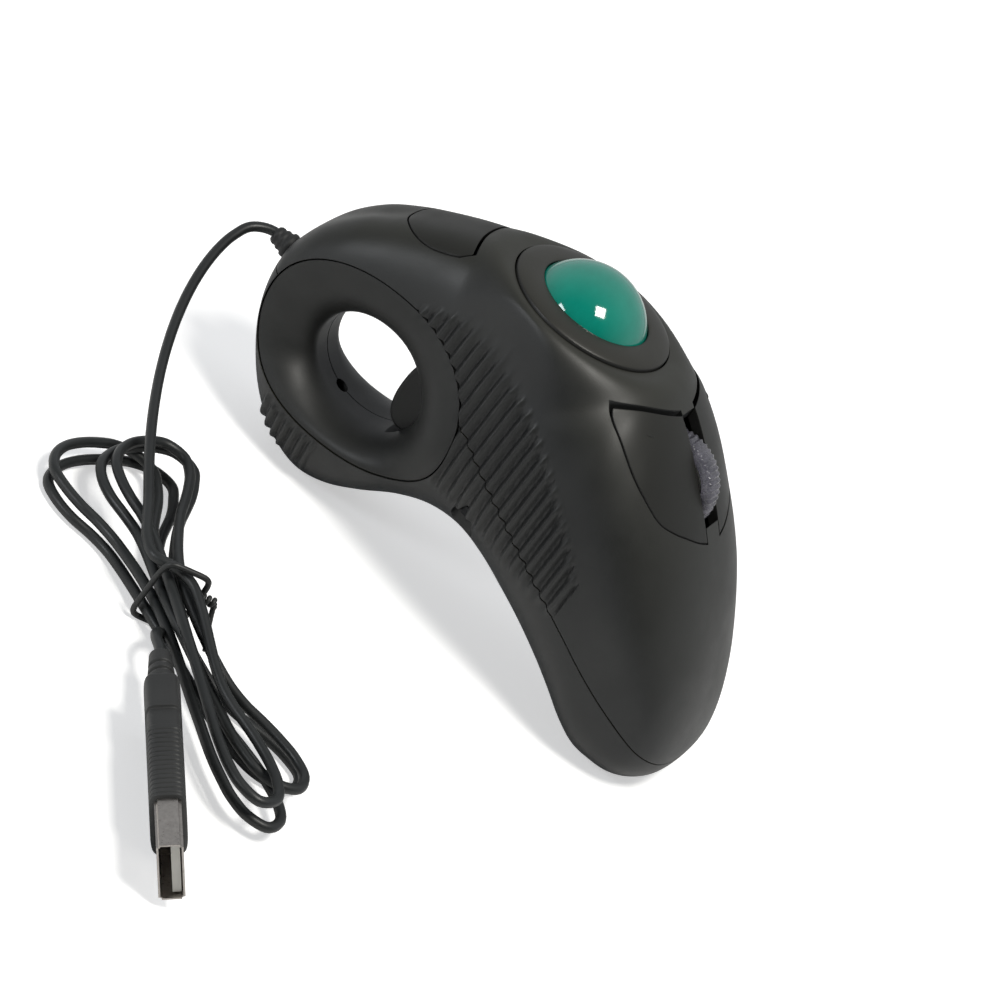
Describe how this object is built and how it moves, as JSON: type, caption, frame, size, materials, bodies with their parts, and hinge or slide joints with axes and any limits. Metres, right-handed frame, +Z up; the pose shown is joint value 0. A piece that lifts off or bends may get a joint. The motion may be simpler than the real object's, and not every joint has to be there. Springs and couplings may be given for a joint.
{
  "type": "trackball mouse",
  "caption": "Handheld wired trackball mouse with a finger ring and trigger, thumb ball, thumb buttons and a scroll wheel, with its bundled USB cable.",
  "frame": {"origin": "centre of the flat heel face that rests on the desk", "axes": "+Z up (thumb ball side), -Y front (finger ring and cable), +X the device's left side"},
  "size_m": [0.1712, 0.127, 0.0716],
  "materials": {
    "casing": "satin, fine spark texture",
    "liner": "matte",
    "ball": "polished",
    "bezel": "satin",
    "button": "satin",
    "wheel": "smoky translucent, ribbed",
    "nylon": "natural nylon",
    "grey_plastic": "matte",
    "steel": "plain",
    "board": "glass epoxy with solder resist",
    "chip": "moulded epoxy",
    "can": "plain",
    "cable": "matte",
    "plug_body": "matte, ribbed relief",
    "plug_metal": "nickel plated"
  },
  "bodies": {
    "casing": {"upper_shell": "casing", "lower_shell": "casing", "ring_liner_left": "liner", "ring_liner_right": "liner", "ball_bezel": "bezel", "ball_cup": "grey_plastic", "support_ball_1": "nylon", "support_ball_2": "nylon", "support_ball_3": "nylon", "main_pcb": "board", "front_pcb": "board", "trigger_pcb": "board", "controller_chip": "chip", "crystal": "can", "capacitor": "chip", "switch_left": "chip", "switch_right": "chip", "switch_front": "chip", "switch_trigger": "chip", "switch_wheel": "chip", "wheel_encoder": "chip", "emitter_x": "nylon", "detector_x": "chip", "emitter_y": "nylon", "detector_y": "chip", "casing_screw_rear": "steel", "casing_screw_left": "steel", "casing_screw_right": "steel", "trigger_pin": "steel", "cable_boot": "plug_body", "usb_cable": "cable", "twist_tie": "cable", "usb_plug_overmold": "plug_body", "usb_plug_shell": "plug_metal", "usb_plug_tongue": "nylon"},
    "ball": {"trackball": "ball"},
    "x_roller": {"roller_x": "nylon"},
    "y_roller": {"roller_y": "nylon"},
    "wheel_carrier": {"wheel_cradle": "grey_plastic"},
    "scroll_wheel": {"wheel_tyre": "wheel", "wheel_hub": "nylon", "wheel_axle": "steel"},
    "left_button": {"button_left": "button"},
    "right_button": {"button_right": "button"},
    "front_button": {"button_front": "button"},
    "trigger_lever": {"trigger": "button"},
    "left_plunger": {"plunger_left": "nylon"},
    "right_plunger": {"plunger_right": "nylon"},
    "front_plunger": {"plunger_front": "nylon"},
    "trigger_plunger": {"plunger_trigger": "nylon"},
    "wheel_plunger": {"plunger_wheel": "nylon"}
  },
  "joints": [
    {"name": "ball_roll", "type": "hinge", "parent": "casing", "child": "ball", "pos_m": [0, -0.05439, 0.0591], "axis": [0.7071, 0.7071, 0], "continuous": true},
    {"name": "x_roller_spin", "type": "hinge", "parent": "casing", "child": "x_roller", "pos_m": [0, -0.04149, 0.0532], "axis": [1, 0, 0], "continuous": true},
    {"name": "y_roller_spin", "type": "hinge", "parent": "casing", "child": "y_roller", "pos_m": [-0.0129, -0.05439, 0.0532], "axis": [0, 1, 0], "continuous": true},
    {"name": "wheel_click", "type": "slide", "parent": "casing", "child": "wheel_carrier", "axis": [0, 0, -1], "range_m": [0, 0.0005]},
    {"name": "wheel_scroll", "type": "hinge", "parent": "wheel_carrier", "child": "scroll_wheel", "pos_m": [0, -0.0245, 0.0476], "axis": [1, 0, 0], "continuous": true},
    {"name": "left_press", "type": "hinge", "parent": "casing", "child": "left_button", "pos_m": [0.0125, -0.0101, 0.0444], "axis": [1, 0, 0], "range_deg": [0, 1.6]},
    {"name": "right_press", "type": "hinge", "parent": "casing", "child": "right_button", "pos_m": [-0.0125, -0.0101, 0.0444], "axis": [1, 0, 0], "range_deg": [0, 1.6]},
    {"name": "front_press", "type": "hinge", "parent": "casing", "child": "front_button", "pos_m": [0, -0.0931, 0.0522], "axis": [-1, 0, 0], "range_deg": [0, 1.8]},
    {"name": "trigger_pull", "type": "hinge", "parent": "casing", "child": "trigger_lever", "pos_m": [0, -0.063, 0.0382], "axis": [1, 0, 0], "range_deg": [0, 3]},
    {"name": "left_switch_travel", "type": "slide", "parent": "casing", "child": "left_plunger", "axis": [0, 0, -1], "range_m": [0, 0.0007]},
    {"name": "right_switch_travel", "type": "slide", "parent": "casing", "child": "right_plunger", "axis": [0, 0, -1], "range_m": [0, 0.0007]},
    {"name": "front_switch_travel", "type": "slide", "parent": "casing", "child": "front_plunger", "axis": [0, 0, -1], "range_m": [0, 0.0005]},
    {"name": "trigger_switch_travel", "type": "slide", "parent": "casing", "child": "trigger_plunger", "axis": [0, 1, 0], "range_m": [0, 0.0008]},
    {"name": "wheel_switch_travel", "type": "slide", "parent": "casing", "child": "wheel_plunger", "axis": [0, 0, -1], "range_m": [0, 0.0005]}
  ],
  "couplings": [
    {"joint": "x_roller_spin", "follows": "ball_roll", "ratio": -5.5243},
    {"joint": "y_roller_spin", "follows": "ball_roll", "ratio": -5.5243},
    {"joint": "left_switch_travel", "follows": "left_press", "m_per_rad": 0.0208},
    {"joint": "right_switch_travel", "follows": "right_press", "m_per_rad": 0.0208},
    {"joint": "front_switch_travel", "follows": "front_press", "m_per_rad": 0.0121},
    {"joint": "trigger_switch_travel", "follows": "trigger_pull", "m_per_rad": 0.0127},
    {"joint": "wheel_switch_travel", "follows": "wheel_click", "ratio": 1}
  ]
}
